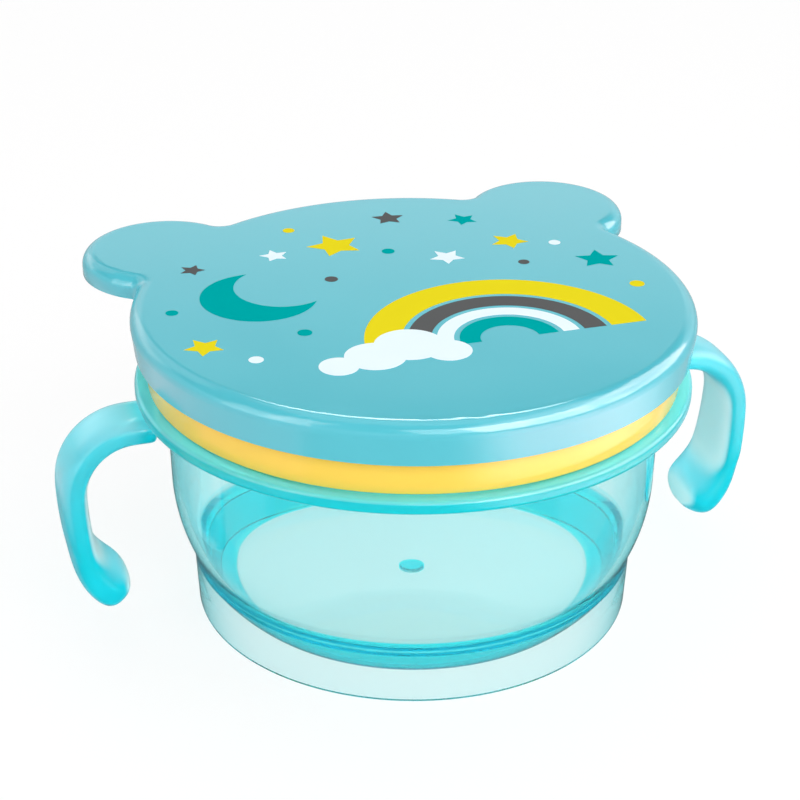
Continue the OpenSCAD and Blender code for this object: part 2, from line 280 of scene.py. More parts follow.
clearLook = {
    "index": 1.47, "clear": 0.98, "density": 106, "through": (0.0, 0.96, 0.985),
    "relief": 0.00003,  # metres
    "skin": {"Grain Depth": 0.0, "Wave Size": 18.0, "Wave Depth": 0.6, "Gloss Low": 0.015, "Gloss High": 0.04},
    "shadow": (0.72, 0.95, 0.96),  # what the plastic lets through to its shadow
    "thin": (0.985, 0.995, 0.995),  # walls that show what is behind them
    "edge": (0.3, 0.91, 0.98), "edgeFrom": 0.45, "edgeFull": 0.97,  # walls seen along their length
    # Thick corner where the floor, the wall and the foot meet
    "corner": (0.0, 0.84, 0.93), "cornerStart": 42.1, "cornerSoft": 0.6,
    "cornerTop": 14.6, "cornerFade": 1.0, "cornerSlope": 0.25, "slopeSoft": 0.15,
    "shelfFrom": 11.6, "shelfFull": 12.4, "shelfShare": 0.45, "footFrom": 1.5, "footFull": 2.5,
    "joint": (0.0, 0.86, 0.95), "jointFrom": 8.5, "jointFull": 11.0,  # the foot's root is the thickest
    "gate": 2.9, "gateSoft": 0.2,
    # Flange and handles, low and high: deep low down and on the narrow front edges, pale as painted light higher
    # up, on the broad faces and on faces that look up, and as painted sheen on grazing rims
    "deep": (0.04, 0.79, 0.87), "pale": (0.4, 0.9, 0.94), "flangeStart": 57.0, "flangeFull": 58.0,
    "handleStart": 62.2, "handleFull": 66.0, "handleHaze": 0.22, "paintedLightFrom": 20.0, "paintedLightFull": 55.0,
    "sideFrom": 0.45, "sideFull": 0.95, "sideLow": 0.3, "sideHigh": 0.9,
    "topFrom": 0.3, "topFull": 0.9, "paintedSheenFrom": 0.5, "paintedSheenFull": 1.0,
    "inside": (0.85, 0.98, 0.99), "insideFrom": -0.6, "insideFull": -0.95,  # painted light: the handles' inner faces are drawn paler
    "paintedBrimLight": (0.2, 0.95, 1.0),  # painted light on the top of the flange
    # Milky share of the thick stretches, which scatter light as well; its pale, inner-face and flange-top
    # colours are painted light too, and the inner faces get a larger share
    "milkDeep": (0.0, 0.62, 0.7), "milkPaintedLight": (0.34, 0.78, 0.87), "milkPaintedInsideLight": (0.95, 1.0, 1.0),
    "milkPaintedBrimLight": (0.24, 0.94, 1.0), "milkShare": 0.5, "insideShare": 0.85,
    "milkRoughness": 0.3, "milkGloss": 0.1,
}


def readPlace(nodes, links):  # distance from the bowl's axis, height, how far the surface faces up and out
    place = nodes.new("ShaderNodeTexCoord")
    split = nodes.new("ShaderNodeSeparateXYZ")
    links.new(place.outputs["Object"], split.inputs["Vector"])
    faces = nodes.new("ShaderNodeSeparateXYZ")
    links.new(place.outputs["Normal"], faces.inputs["Vector"])
    flat = nodes.new("ShaderNodeVectorMath")
    flat.operation = "MULTIPLY"
    flat.inputs[1].default_value = (1, 1, 0)
    radius = nodes.new("ShaderNodeVectorMath")
    radius.operation = "LENGTH"
    links.new(place.outputs["Object"], flat.inputs[0])
    links.new(flat.outputs["Vector"], radius.inputs[0])
    ahead = nodes.new("ShaderNodeVectorMath")
    ahead.operation = "NORMALIZE"
    links.new(flat.outputs["Vector"], ahead.inputs[0])
    outward = nodes.new("ShaderNodeVectorMath")
    outward.operation = "DOT_PRODUCT"
    links.new(ahead.outputs["Vector"], outward.inputs[0])
    links.new(place.outputs["Normal"], outward.inputs[1])
    return radius.outputs["Value"], split.outputs["Z"], faces.outputs["Z"], outward.outputs["Value"]


def makeClearPlastic():
    material, nodes, links, shader = newMaterial("clearTurquoisePlastic")
    look = clearLook
    shader.inputs["Transmission Weight"].default_value = look["clear"]
    shader.inputs["IOR"].default_value = look["index"]
    skin = addSkin(nodes, links, shader, look)
    radius, height, upward, outward = readPlace(nodes, links)

    def between(value, start, end, low=0.0, high=1.0):  # start and end are millimetres
        return addRamp(nodes, links, value, start * mm, end * mm, low, high)

    def both(first, second):
        return combine(nodes, links, "MULTIPLY", first, second)

    def either(first, second):
        return combine(nodes, links, "MAXIMUM", first, second)

    haze = between(radius, look["handleStart"], look["handleFull"], 0, look["handleHaze"])
    links.new(combine(nodes, links, "ADD", skin.outputs["Roughness"], haze), shader.inputs["Roughness"])
    # Masks for the thick stretches; the foot's upright walls stay pale
    onSlope = addRamp(nodes, links, unsigned(nodes, links, upward), look["cornerSlope"],
                      look["cornerSlope"] + look["slopeSoft"])
    inCorner = either(onSlope, between(height, look["shelfFrom"], look["shelfFull"], 0, look["shelfShare"]))
    for ramp in (between(radius, look["cornerStart"], look["cornerStart"] + look["cornerSoft"]),
                 between(height, look["cornerTop"], look["cornerTop"] + look["cornerFade"], 1, 0),
                 between(height, look["footFrom"], look["footFull"])):
        inCorner = both(inCorner, ramp)
    onJoint = both(both(inCorner, onSlope), between(height, look["jointFrom"], look["jointFull"]))
    onGate = between(radius, look["gate"], look["gate"] + look["gateSoft"], 1, 0)
    onFlange = between(radius, look["flangeStart"], look["flangeFull"])
    onHandle = between(radius, look["handleStart"], look["handleFull"])
    onTop = addRamp(nodes, links, upward, look["topFrom"], look["topFull"])
    # Painted light: faces that look up, and the top of the flange, are drawn paler
    onBrim = both(onTop, between(radius, look["handleStart"], look["handleFull"], 1, 0))
    # Painted light: the handles' inner faces are drawn paler and milkier
    onInside = both(onHandle, addRamp(nodes, links, outward, look["insideFull"], look["insideFrom"], 1, 0))
    facing = nodes.new("ShaderNodeLayerWeight").outputs["Facing"]
    # Painted light on the handles: paler upwards and on their broad faces, while their narrow front edges stay
    # deep; faces that look up are painted paler, and grazing rims get a painted sheen
    paintedLight = both(onHandle, between(height, look["paintedLightFrom"], look["paintedLightFull"]))
    paintedLight = both(paintedLight, addRamp(nodes, links, unsigned(nodes, links, outward), look["sideFrom"],
                                  look["sideFull"], look["sideLow"], look["sideHigh"]))
    paintedLight = either(paintedLight, onTop)
    paintedLight = either(paintedLight, addRamp(nodes, links, facing, look["paintedSheenFrom"], look["paintedSheenFull"]))

    along = addRamp(nodes, links, facing, look["edgeFrom"], look["edgeFull"])
    walls = mixTint(nodes, links, along, look["thin"], look["edge"])
    walls = mixTint(nodes, links, inCorner, walls, look["corner"])
    walls = mixTint(nodes, links, either(onJoint, onGate), walls, look["joint"])
    thick = mixTint(nodes, links, paintedLight, look["deep"], look["pale"])
    thick = mixTint(nodes, links, onInside, thick, look["inside"])
    thick = mixTint(nodes, links, onBrim, thick, look["paintedBrimLight"])
    links.new(mixTint(nodes, links, onFlange, walls, thick), shader.inputs["Base Color"])
    milk = nodes.new("ShaderNodeBsdfPrincipled")
    # The milky colour carries the same painted light as the clear one
    cloudy = mixTint(nodes, links, paintedLight, look["milkDeep"], look["milkPaintedLight"])
    cloudy = mixTint(nodes, links, onInside, cloudy, look["milkPaintedInsideLight"])
    links.new(mixTint(nodes, links, onBrim, cloudy, look["milkPaintedBrimLight"]), milk.inputs["Base Color"])
    milk.inputs["Roughness"].default_value = look["milkRoughness"]
    milk.inputs["Specular IOR Level"].default_value = look["milkGloss"]
    share = nodes.new("ShaderNodeMixShader")
    links.new(both(onFlange, addRamp(nodes, links, onInside, 0, 1, look["milkShare"], look["insideShare"])),
              share.inputs["Fac"])
    links.new(shader.outputs["BSDF"], share.inputs[1])
    links.new(milk.outputs["BSDF"], share.inputs[2])

    shadow = nodes.new("ShaderNodeBsdfTransparent")
    shadow.inputs["Color"].default_value = (*look["shadow"], 1)
    path = nodes.new("ShaderNodeLightPath")
    mix = nodes.new("ShaderNodeMixShader")
    links.new(path.outputs["Is Shadow Ray"], mix.inputs["Fac"])
    links.new(share.outputs["Shader"], mix.inputs[1])
    links.new(shadow.outputs["BSDF"], mix.inputs[2])
    output = nodes["Material Output"]
    links.new(mix.outputs["Shader"], output.inputs["Surface"])
    depth = nodes.new("ShaderNodeVolumeAbsorption")
    depth.inputs["Color"].default_value = (*look["through"], 1)
    depth.inputs["Density"].default_value = look["density"]
    links.new(depth.outputs["Volume"], output.inputs["Volume"])
    return material


lidFinish = {
    "pale": (0.085, 0.475, 0.56), "deep": (0.075, 0.445, 0.53), "relief": 0.00004,
    "skin": {"Grain Depth": 0.3, "Wave Depth": 0.8, "Gloss Low": 0.12, "Gloss High": 0.17},
    "shader": {"IOR": 1.5},
}
ringFinish = {
    "pale": (0.92, 0.62, 0.085), "deep": (0.89, 0.56, 0.065), "relief": 0.00004,
    "skin": {"Grain Depth": 0.3, "Wave Depth": 0.6, "Gloss Low": 0.12, "Gloss High": 0.18},
    "shader": {"IOR": 1.5},
}
flapFinish = {
    "pale": (0.42, 0.80, 0.84), "deep": (0.36, 0.75, 0.80), "relief": 0.00008,
    "skin": {"Grain Size": 1400.0, "Grain Depth": 0.5, "Wave Depth": 0.8, "Gloss Low": 0.42, "Gloss High": 0.55},
    "shader": {"Sheen Weight": 0.15},
}
inkFinish = {
    "relief": 0.00003,
    "skin": {"Grain Size": 1600.0, "Grain Depth": 0.4, "Wave Depth": 0.6, "Gloss Low": 0.24, "Gloss High": 0.32},
    "shader": {"Specular IOR Level": 0.0},
}
inkTints = {  # pale and deep
    "yellow": ((0.74, 0.63, 0.016), (0.7, 0.59, 0.012)),
    "teal": ((0.0, 0.36, 0.36), (0.0, 0.32, 0.32)),
    "grey": ((0.11, 0.113, 0.114), (0.092, 0.095, 0.096)),
    "white": ((0.76, 0.86, 0.9), (0.7, 0.82, 0.87)),
}

clearPlastic = makeClearPlastic()
lidPlastic = makeFinish("turquoiseLidPlastic", lidFinish)
yellowPlastic = makeFinish("yellowRingPlastic", ringFinish)
softTurquoise = makeFinish("softTurquoiseFlap", flapFinish)
inks = {colour: makeFinish(colour + "Ink", {**inkFinish, "pale": pale, "deep": deep})
        for colour, (pale, deep) in inkTints.items()}
print("materials made")


# Bowl with foot, flange, neck and two handles, one clear moulding
bowl = {
    "wallRadius": 55.1, "bellyHeight": 32.8, "bellyArc": 40.2, "wallLean": 0.4, "wall": 1.7,
    "floorUnder": 3.2, "floorCorner": 2.0, "underCorner": 0.5, "gateRadius": 2.8, "gateDrop": 1.1,
    "footRadius": 50.1, "footLean": 0.7, "footWall": 1.6, "rimSoft": 0.3, "creaseSoft": 0.4,
    "flangeOut": 6.8, "flangeHeight": 53.0, "flangeThick": 3.0, "flangeEdge": 1.0, "underFillet": 1.5,
    "neckStep": 0.9, "neckWall": 2.1, "neckTall": 13.4, "neckBead": 0.4, "beadDrop": 3.0,
    "creaseTurnIn": 0.8, "creaseTurnOut": 1.5,  # degrees of the belly left to the soft crease
}


def bowlProfile():
    b = bowl
    wallTop = b["wallRadius"] + b["wallLean"]
    flangeRadius = wallTop + b["flangeOut"]
    flangeTop = b["flangeHeight"] + b["flangeThick"]
    neckOut = wallTop + b["neckStep"]
    neckIn = neckOut - b["neckWall"]
    neckTop = flangeTop + b["neckTall"]
    beadHeight = neckTop - b["beadDrop"]
    belly = (b["wallRadius"] - b["bellyArc"], b["bellyHeight"])
    innerArc = b["bellyArc"] - b["wall"]
    floorTop = b["floorUnder"] + b["wall"]

    def cornerAt(wallArc, base, radius):  # round corner between the floor and the curved wall
        turn = degrees(asin((belly[1] - base - radius) / (wallArc - radius)))
        return (belly[0] + (wallArc - radius) * cos(radians(turn)), base + radius), turn

    corner, cornerTurn = cornerAt(innerArc, floorTop, b["floorCorner"])
    underCorner, underTurn = cornerAt(b["bellyArc"], b["floorUnder"], b["underCorner"])
    footIn = b["footRadius"] - b["footWall"]
    soft, crease, gate = b["rimSoft"], b["creaseSoft"], b["gateRadius"]

    def bellyTurn(radius):  # angle below level at which the outer belly has this radius
        return degrees(acos((radius - belly[0]) / b["bellyArc"]))

    inTurn = bellyTurn(footIn + b["footLean"])
    outTurn = bellyTurn(b["footRadius"] + b["footLean"])
    footTopIn = belly[1] - b["bellyArc"] * sin(radians(inTurn))
    footTopOut = belly[1] - b["bellyArc"] * sin(radians(outTurn))
    domeRadius = (gate ** 2 + b["gateDrop"] ** 2) / (2 * b["gateDrop"])
    domeTurn = degrees(asin(gate / domeRadius))
    points = arc((0, b["floorUnder"] - b["gateDrop"] + domeRadius), domeRadius, -90, domeTurn - 90, 6)
    points += [(gate + 0.4, b["floorUnder"]), (corner[0] * 0.5, b["floorUnder"])]
    points += arc(underCorner, b["underCorner"], -90, -underTurn, 4)
    points += arc(belly, b["bellyArc"], -underTurn, -inTurn - b["creaseTurnIn"], 6)[1:]
    points += [(footIn + b["footLean"], footTopIn - crease), (footIn + b["footLean"] * 0.5, footTopIn / 2)]
    points += [(footIn, soft * 2)] + arc((footIn + soft, soft), soft, 180, 270, 3)
    points += arc((b["footRadius"] - soft, soft), soft, 270, 360, 3)
    points += [(b["footRadius"] + b["footLean"] * 0.5, footTopOut / 2)]
    points += [(b["footRadius"] + b["footLean"] - 0.02, footTopOut - crease),
               (b["footRadius"] + b["footLean"] + crease * 0.35, footTopOut + crease * 0.5)]
    points += arc(belly, b["bellyArc"], -outTurn + b["creaseTurnOut"], 0, 20)
    points += [(wallTop, b["flangeHeight"] - b["underFillet"])]
    points += arc((wallTop + b["underFillet"], b["flangeHeight"] - b["underFillet"]),
                  b["underFillet"], 180, 90, 5)[1:]
    edge = b["flangeEdge"]
    points += arc((flangeRadius - edge, b["flangeHeight"] + edge), edge, -90, 0, 6)
    points += arc((flangeRadius - edge, flangeTop - edge), edge, 0, 90, 6)
    points += [(neckOut + crease, flangeTop)]
    points += arc((neckOut + crease, flangeTop + crease), crease, 270, 180, 3)[1:]
    points += arc((neckOut, beadHeight), b["neckBead"], -90, 90, 6)
    points += arc((neckOut - b["neckWall"] / 2, neckTop - b["neckWall"] / 2), b["neckWall"] / 2, 0, 180, 10)
    wallIn = wallTop - b["wall"]
    points += [(neckIn, b["flangeHeight"] + soft), (neckIn - soft, b["flangeHeight"]),
               (wallIn, b["flangeHeight"] - soft)]
    points += arc(belly, innerArc, 0, -cornerTurn, 22)
    points += arc(corner, b["floorCorner"], -cornerTurn, -90, 6)[1:]
    points += [(corner[0] * 0.5, floorTop), (0, floorTop)]
    return points


handle = {
    "rootSunk": 3.0, "reach": 81.4, "below": 1.9, "bend": 13.7, "sweep": 90.0, "drop": 18.0,
    "tipArc": 14.0, "tipTurn": 34.0, "strapThick": 6.1, "strapWide": 15.0, "tipThick": 10.0,
    "tipWide": 19.5, "swellLead": 5.0, "fullBefore": 2.0,  # the tip has its full size this far before its end
    "cornerRound": 0.36, "steps": 26, "capSteps": 6, "tipSmooth": 4,
}


def handlePath():  # middle line, as (length, x, z, turn below straight out)
    h = handle
    x = bowl["wallRadius"] + bowl["wallLean"] + bowl["flangeOut"] - h["rootSunk"]
    z = bowl["flangeHeight"] - h["below"]
    rootLen = h["reach"] - h["strapThick"] / 2 - h["bend"] - x
    bendLen = h["bend"] * pi / 2
    dropTurn = h["drop"] / h["sweep"]
    tipLen = h["tipArc"] * radians(h["tipTurn"])
    total = rootLen + bendLen + h["drop"] + tipLen

    def turnAt(s):
        if s < rootLen:
            return 0
        if s < rootLen + bendLen:
            return (s - rootLen) / h["bend"]
        if s < total - tipLen:
            return pi / 2 + (s - rootLen - bendLen) / h["sweep"]
        return pi / 2 + dropTurn + (s - total + tipLen) / h["tipArc"]

    path = [(0, x, z, 0)]
    fine = 40  # small steps between two rings, so that the arcs come out round
    step = total / (h["steps"] * fine)
    for i in range(h["steps"] * fine):
        turn = turnAt((i + 0.5) * step)
        x += cos(turn) * step
        z -= sin(turn) * step
        if (i + 1) % fine == 0:
            path.append(((i + 1) * step, x, z, turnAt((i + 1) * step)))
    return path, total, rootLen, tipLen


def ease(u):
    u = min(1, max(0, u))
    return u * u * (3 - 2 * u)


def buildHandle():
    h = handle
    path, total, rootLen, tipLen = handlePath()
    swellStart = total - tipLen - h["swellLead"]
    swellEnd = total - h["fullBefore"]

    def sizeAt(s):
        u = ease((s - swellStart) / (swellEnd - swellStart))
        v = ease((s - rootLen) / (swellEnd - rootLen))
        return (h["strapThick"] + (h["tipThick"] - h["strapThick"]) * u,
                h["strapWide"] + (h["tipWide"] - h["strapWide"]) * v)

    rings = []  # one (place, turn, thickness, width) for each ring along the strap
    for s, x, z, turn in path:
        thick, wide = sizeAt(s)
        shift = (thick - h["strapThick"]) / 3  # the tip swells mostly towards the bowl
        rings.append((Vector((x - shift * sin(turn), 0, z - shift * cos(turn))) * mm, turn, thick, wide))
    place, turn, thick, wide = rings[-1]
    for i in range(1, h["capSteps"] + 1):  # rounded end
        lean = pi / 2 * i / (h["capSteps"] + 0.4)
        out = thick / 2 * sin(lean) * mm
        end = place + Vector((cos(turn), 0, -sin(turn))) * out
        rings.append((end, turn, thick * cos(lean), wide * cos(lean)))

    bpy.ops.object.select_all(action="DESELECT")
    bpy.ops.mesh.primitive_plane_add(size=mm, rotation=(0, pi / 2, 0))
    obj = bpy.context.object
    obj.name = "handleForm"
    bpy.ops.object.transform_apply(location=True, rotation=True, scale=True)
    bpy.ops.object.mode_set(mode="EDIT")
    bpy.ops.mesh.select_all(action="SELECT")
    place, turn, thick, wide = rings[0]
    bpy.ops.mesh.bevel(offset=h["cornerRound"] * mm, segments=4, affect="VERTICES")
    bpy.ops.transform.resize(value=(1, wide, thick))
    bpy.ops.transform.translate(value=place)
    for (p0, turn0, thick0, wide0), (p1, turn1, thick1, wide1) in zip(rings, rings[1:]):
        bpy.ops.mesh.extrude_region_move(TRANSFORM_OT_translate={"value": p1 - p0})
        bpy.ops.transform.rotate(value=-(turn1 - turn0), orient_axis="Y", center_override=p1)
        bpy.ops.transform.resize(value=(thick1 / thick0, wide1 / wide0, thick1 / thick0), center_override=p1)
    bpy.ops.mesh.select_all(action="SELECT")
    bpy.ops.mesh.normals_make_consistent(inside=False)
    tipTop = next(ring[0].z for ring, point in zip(rings, path) if point[0] > swellStart)
    selectWhere(obj, lambda vertex: vertex.co.z < tipTop)
    bpy.ops.mesh.vertices_smooth(factor=0.5, repeat=h["tipSmooth"])  # the tip is a soft bulb
    bpy.ops.object.mode_set(mode="OBJECT")
    applyModifier(obj, "SUBSURF", levels=2, render_levels=2)
    return obj


def buildBowl():
    shell = spinProfile("bowlShell", bowlProfile())
    right = buildHandle()
    pick(right)
    bpy.ops.object.duplicate()
    left = bpy.context.object
    bpy.ops.transform.mirror(constraint_axis=(True, False, False))
    bpy.ops.object.transform_apply(location=True, rotation=True, scale=True)
    bpy.ops.object.mode_set(mode="EDIT")
    bpy.ops.mesh.select_all(action="SELECT")
    bpy.ops.mesh.normals_make_consistent(inside=False)
    bpy.ops.object.mode_set(mode="OBJECT")
    for strap in (right, left):
        applyModifier(shell, "BOOLEAN", operation="UNION", solver="EXACT", object=strap)
    pick(right, left)
    bpy.ops.object.delete()
    shadeSmooth(shell, 30)
    finishPiece(shell, clearPlastic, "bowl")
    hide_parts("bowl", "handle_left", "handle_right")


buildBowl()
print("bowl and handles modelled")


def buildLid():
    pick(frame["nodes"]["lid"])
    bpy.ops.object.duplicate()
    lid = bpy.context.object
    lid.name = "lidShell"
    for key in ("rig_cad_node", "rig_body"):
        if key in lid:
            del lid[key]
    lid.parent = None
    bpy.ops.object.mode_set(mode="EDIT")
    bpy.ops.mesh.select_all(action="SELECT")
    bpy.ops.mesh.remove_doubles(threshold=0.002 * mm)
    bpy.ops.object.mode_set(mode="OBJECT")
    shadeSmooth(lid, 40)
    applyModifier(lid, "WEIGHTED_NORMAL", keep_sharp=True, weight=100)
    finishPiece(lid, lidPlastic, "lid")
    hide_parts("lid")


buildLid()
print("lid modelled")


# Generic print on the lid's top: a rainbow with a cloud, a moon, stars and dots.
# Places are (x, y) on the lid, seen from above with the lobes at the back.
lidPrint = {
    "top": 73.25, "sunk": 0.03, "ink": 0.05, "overprint": 0.02,
    "rainbow": {"place": (13.0, -27.0), "outer": 31.0, "steps": 96,
                "bands": (("yellow", 8.0, 1.2), ("grey", 5.0, 1.2), ("white", 3.6, 1.2), ("teal", 4.4, 0.0))},
    "cloud": ((-17.0, -27.5, 6.5), (-8.5, -24.0, 7.5), (-25.5, -30.0, 4.2), (-1.5, -29.0, 5.0)),
    "moon": {"place": (-33.0, 9.0), "radius": 13.0, "bite": 11.0, "shift": (6.5, 4.0)},
    "stars": (("yellow", (-9.0, 33.0), 6.6, 10), ("yellow", (31.0, 24.0), 4.6, 32),
              ("grey", (8.0, 46.0), 4.0, -8), ("yellow", (-50.0, -13.0), 4.4, 20),
              ("white", (-24.0, 31.0), 3.4, 4), ("teal", (47.0, 8.0), 5.2, -14),
              ("white", (14.0, 19.0), 4.2, 24), ("grey", (-44.0, 28.0), 3.0, 40),
              ("teal", (25.0, 40.0), 3.6, 12)),
    "dots": (("teal", (2.0, 26.0), 1.5), ("white", (-41.0, -22.0), 1.6), ("grey", (-15.0, 14.0), 1.5),
             ("yellow", (50.0, -8.0), 1.7), ("white", (41.0, 20.0), 1.4), ("teal", (-28.0, -12.0), 1.6),
             ("yellow", (-17.0, 45.0), 1.4), ("grey", (30.0, 11.0), 1.3), ("teal", (-53.0, 6.0), 1.4)),
}


def addInkDisc(radius, place, extra=0.0, vertices=64):
    p = lidPrint
    return addPost(radius, place, p["top"] - p["sunk"], p["top"] + p["ink"] + extra, vertices)


def addStar(radius, place, turn):
    star = addInkDisc(radius, place, vertices=10)
    bpy.ops.object.mode_set(mode="EDIT")
    selectWhere(star, lambda vert: round(degrees(Vector(vert.co).xy.angle_signed(Vector((0, 1)))) / 36) % 2)
    bpy.ops.transform.resize(value=(0.5, 0.5, 1))  # every second point moves in
    bpy.ops.object.mode_set(mode="OBJECT")
    star.rotation_euler.z = radians(turn)
    return star


def addArch(outer, inner, place):  # half a flat ring with its feet at the front
    steps = lidPrint["rainbow"]["steps"]
    arch = addInkDisc(outer, place, vertices=steps)
    cutPosts(arch, [addPost(inner, place, lidPrint["top"] - 1, lidPrint["top"] + 1, steps)])
    pick(arch)
    bpy.ops.object.mode_set(mode="EDIT")
    bpy.ops.mesh.select_all(action="SELECT")
    bpy.ops.mesh.bisect(plane_co=(0, place[1] * mm, 0), plane_no=(0, 1, 0), clear_inner=True, use_fill=True)
    bpy.ops.object.mode_set(mode="OBJECT")
    return arch


def joinInk(name, shapes, colour):
    pick(*shapes)
    if len(shapes) > 1:
        bpy.ops.object.join()
    ink = bpy.context.object
    ink.name = name
    bpy.ops.object.transform_apply(location=True, rotation=True, scale=True)
    applyModifier(ink, "TRIANGULATE")
    finishPiece(ink, inks[colour], "lid")


def buildPrint():
    p = lidPrint
    shapes = {colour: [] for colour in inks}
    bow = p["rainbow"]
    outer = bow["outer"]
    for colour, width, space in bow["bands"]:
        shapes[colour].append(addArch(outer, outer - width, bow["place"]))
        outer -= width + space
    puffs = [addInkDisc(radius, (x, y), p["overprint"]) for x, y, radius in p["cloud"]]
    for puff in puffs[1:]:
        applyModifier(puffs[0], "BOOLEAN", operation="UNION", solver="EXACT", object=puff)
    pick(*puffs[1:])
    bpy.ops.object.delete()
    shapes["white"].append(puffs[0])
    moon = p["moon"]
    crescent = addInkDisc(moon["radius"], moon["place"], vertices=96)
    bitten = (moon["place"][0] + moon["shift"][0], moon["place"][1] + moon["shift"][1])
    cutPosts(crescent, [addPost(moon["bite"], bitten, p["top"] - 1, p["top"] + 1, 96)])
    shapes["teal"].append(crescent)
    for colour, place, radius, turn in p["stars"]:
        shapes[colour].append(addStar(radius, place, turn))
    for colour, place, radius in p["dots"]:
        shapes[colour].append(addInkDisc(radius, place, vertices=40))
    for colour in inks:
        joinInk(colour + "Print", shapes[colour], colour)


buildPrint()
print("lid print made")


# Push-on ring, its soft collar and the flaps. Each flap points at the bowl's axis.
insert = {
    "ringWall": 1.8, "ringTop": 1.6, "ringBead": 0.55, "beadRise": 2.0, "rimBead": 0.3, "soft": 0.4,
    "plugWall": 1.8, "plugDepth": 8.0, "ledgeRadius": 42.0, "gap": 0.25,
    "flapThick": 1.6, "tipThick": 0.9, "flapRoot": 29.5, "slit": 0.5, "tipHole": 2.0, "relief": 1.3,
    "flaps": 8, "lip": 1.2, "rootIn": 0.2, "edge": 0.22,
    "flex": 1.5, "flexCuts": 7, "rows": [24.0, 18.0, 12.0, 7.0],  # more rows where a flap bends
}


def insertHeights():  # worked out from the bowl, in millimetres
    b, n = bowl, insert
    neckOut = b["wallRadius"] + b["wallLean"] + b["neckStep"]
    neckTop = b["flangeHeight"] + b["flangeThick"] + b["neckTall"]
    ringIn = neckOut + b["neckBead"] + n["gap"] + n["ringBead"]
    deck = neckTop + n["gap"] + n["ringTop"]
    plugOut = neckOut - b["neckWall"] - n["gap"]
    return {
        "ringIn": ringIn, "ringOut": ringIn + n["ringWall"], "deck": deck,
        "ringUnder": b["flangeHeight"] + b["flangeThick"] + n["gap"],
        "plugOut": plugOut, "plugIn": plugOut - n["plugWall"],
        "ledge": deck - n["plugDepth"], "collar": deck - n["plugDepth"] + n["ringTop"],
    }


def buildRing():
    n, at = insert, insertHeights()
    soft, edge = n["soft"], n["ringTop"] / 2
    roof, beadLow = at["deck"] - n["ringTop"], at["ringUnder"] + n["beadRise"]
    points = arc((at["ringIn"] + soft, at["ringUnder"] + soft), soft, 180, 270, 4)
    points += arc((at["ringOut"] - soft, at["ringUnder"] + soft), soft, 270, 360, 4)
    points += arc((at["ringOut"], at["deck"] - bowl["beadDrop"]), n["rimBead"], -90, 90, 6)
    points += arc((at["ringOut"] - edge, at["deck"] - edge), edge, 0, 90, 8)
    points += arc((at["plugIn"] + soft, at["deck"] - soft), soft, 90, 180, 5)
    points += [(at["plugIn"], at["collar"])]
    points += arc((n["ledgeRadius"] + soft, at["collar"] - soft), soft, 90, 180, 4)
    points += arc((n["ledgeRadius"] + soft, at["ledge"] + soft), soft, 180, 270, 4)
    points += arc((at["plugOut"] - soft, at["ledge"] + soft), soft, 270, 360, 4)
    points += [(at["plugOut"], roof), (at["ringIn"], roof), (at["ringIn"], beadLow + n["ringTop"])]
    points += [(at["ringIn"] - n["ringBead"], beadLow + n["ringTop"] - soft),
               (at["ringIn"] - n["ringBead"], beadLow + soft), (at["ringIn"], beadLow), points[0]]
    ring = spinProfile("ringBand", points)
    shadeSmooth(ring, 40)
    finishPiece(ring, yellowPlastic, "insert")
    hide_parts("insert_ring")


def softenEdges(obj, width, segments=3):
    applyModifier(obj, "BEVEL", width=width * mm, segments=segments, limit_method="ANGLE",
                  angle_limit=radians(40))
    shadeSmooth(obj, 40)


def buildCollar():
    n, at = insert, insertHeights()
    low, high = at["collar"], at["collar"] + n["flapThick"]
    step = 2 * pi / n["flaps"]
    holeRadius = (n["flapRoot"] + n["flapThick"] / 2 + n["gap"]) / cos(step / 2)
    points = [(0, low), (at["plugIn"], low), (at["plugIn"], high + n["lip"]),
              (at["plugIn"] - n["lip"], high + n["lip"]), (at["plugIn"] - n["lip"], high), (0, high)]
    collar = spinProfile("softCollar", points)
    posts = [addPost(holeRadius, (0, 0), low - 1, high + 1, n["flaps"])]
    posts[0].rotation_euler.z = -pi / 2  # a corner of the opening lies on each slit
    for i in range(n["flaps"]):
        place = (holeRadius * cos(i * step), holeRadius * sin(i * step))
        posts.append(addPost(n["relief"], place, low - 1, high + 1))
    cutPosts(collar, posts)
    softenEdges(collar, n["edge"])
    finishPiece(collar, softTurquoise, "insert")
    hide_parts("flap_collar")


